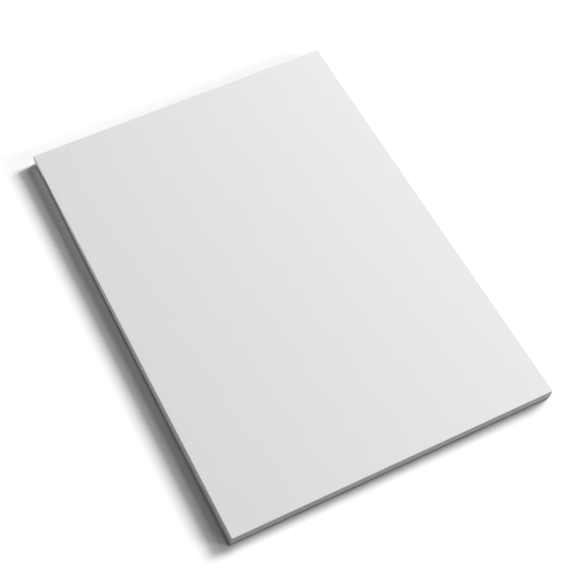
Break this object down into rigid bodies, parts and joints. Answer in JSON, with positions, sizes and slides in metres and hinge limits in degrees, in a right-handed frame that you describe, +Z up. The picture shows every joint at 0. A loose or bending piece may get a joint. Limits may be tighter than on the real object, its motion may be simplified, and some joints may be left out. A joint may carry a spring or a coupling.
{
  "type": "layout pad",
  "caption": "Blank drawing pad: a block of loose white sheets glued together along one short edge, on a thin grey backing board.",
  "frame": {"origin": "on the underside of the backing board, below the middle of the sheets", "axes": "+X across the pad to the right, +Y from the foot to the glued head, +Z up out of the top sheet"},
  "size_m": [0.2119, 0.2973, 0.0084],
  "materials": {
    "layout_paper": "matt, uncoated, smooth white drawing paper",
    "grey_board": "matt, fibrous recycled grey board",
    "padding_glue": "thin brushed film of white padding glue, slight sheen"
  },
  "bodies": {
    "root": {"sheet_block": "layout_paper", "backing_board": "grey_board", "head_gum": "padding_glue"}
  },
  "joints": []
}
